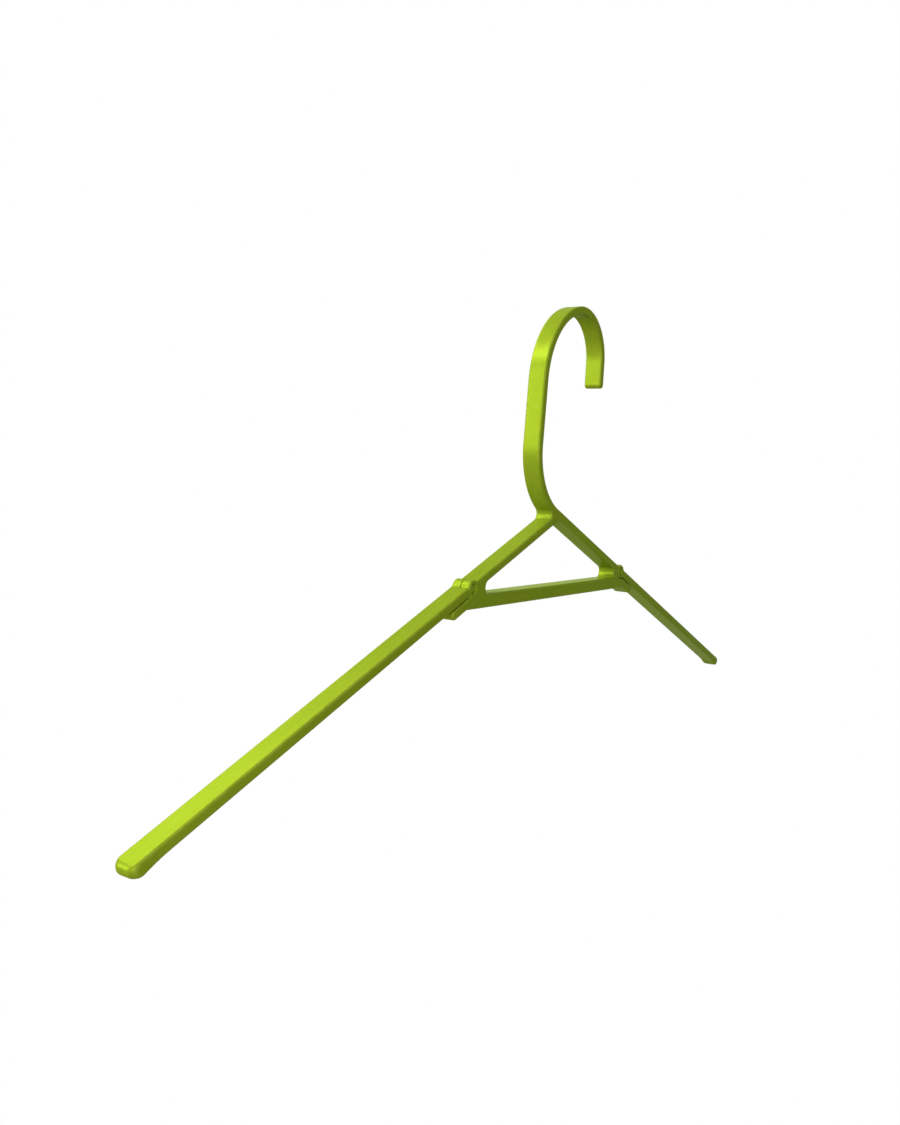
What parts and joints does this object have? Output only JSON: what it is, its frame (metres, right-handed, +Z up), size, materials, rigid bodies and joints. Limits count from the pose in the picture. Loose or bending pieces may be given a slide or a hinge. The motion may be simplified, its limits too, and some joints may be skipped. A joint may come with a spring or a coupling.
{
  "type": "folding travel hanger",
  "caption": "Slim plastic clothes hanger with a one-piece hook and crossbar frame; lower arms fold up on half-lap pin hinges and rest on stop tabs when open.",
  "frame": {"origin": "rod seat: highest point of the hook's inside, midway across the bar's width", "axes": "+X along the arms towards the hook's free end, +Y through the flat back, +Z up"},
  "size_m": [0.42, 0.0076, 0.1721],
  "materials": {
    "frame_plastic": "metallic green, satin",
    "arm_plastic": "metallic green, satin",
    "pin_plastic": "metallic green, satin"
  },
  "bodies": {
    "frame": {"hanger_frame": "frame_plastic", "left_hinge_pin": "pin_plastic", "right_hinge_pin": "pin_plastic"},
    "left_arm": {"left_arm": "arm_plastic"},
    "right_arm": {"right_arm": "arm_plastic"}
  },
  "joints": [
    {"name": "left_arm_fold", "type": "hinge", "parent": "frame", "child": "left_arm", "pos_m": [-0.0744, 0, -0.10734], "axis": [0, 1, 0], "range_deg": [0, 110]},
    {"name": "right_arm_fold", "type": "hinge", "parent": "frame", "child": "right_arm", "pos_m": [0.052, 0, -0.10734], "axis": [0, -1, 0], "range_deg": [0, 110]}
  ]
}
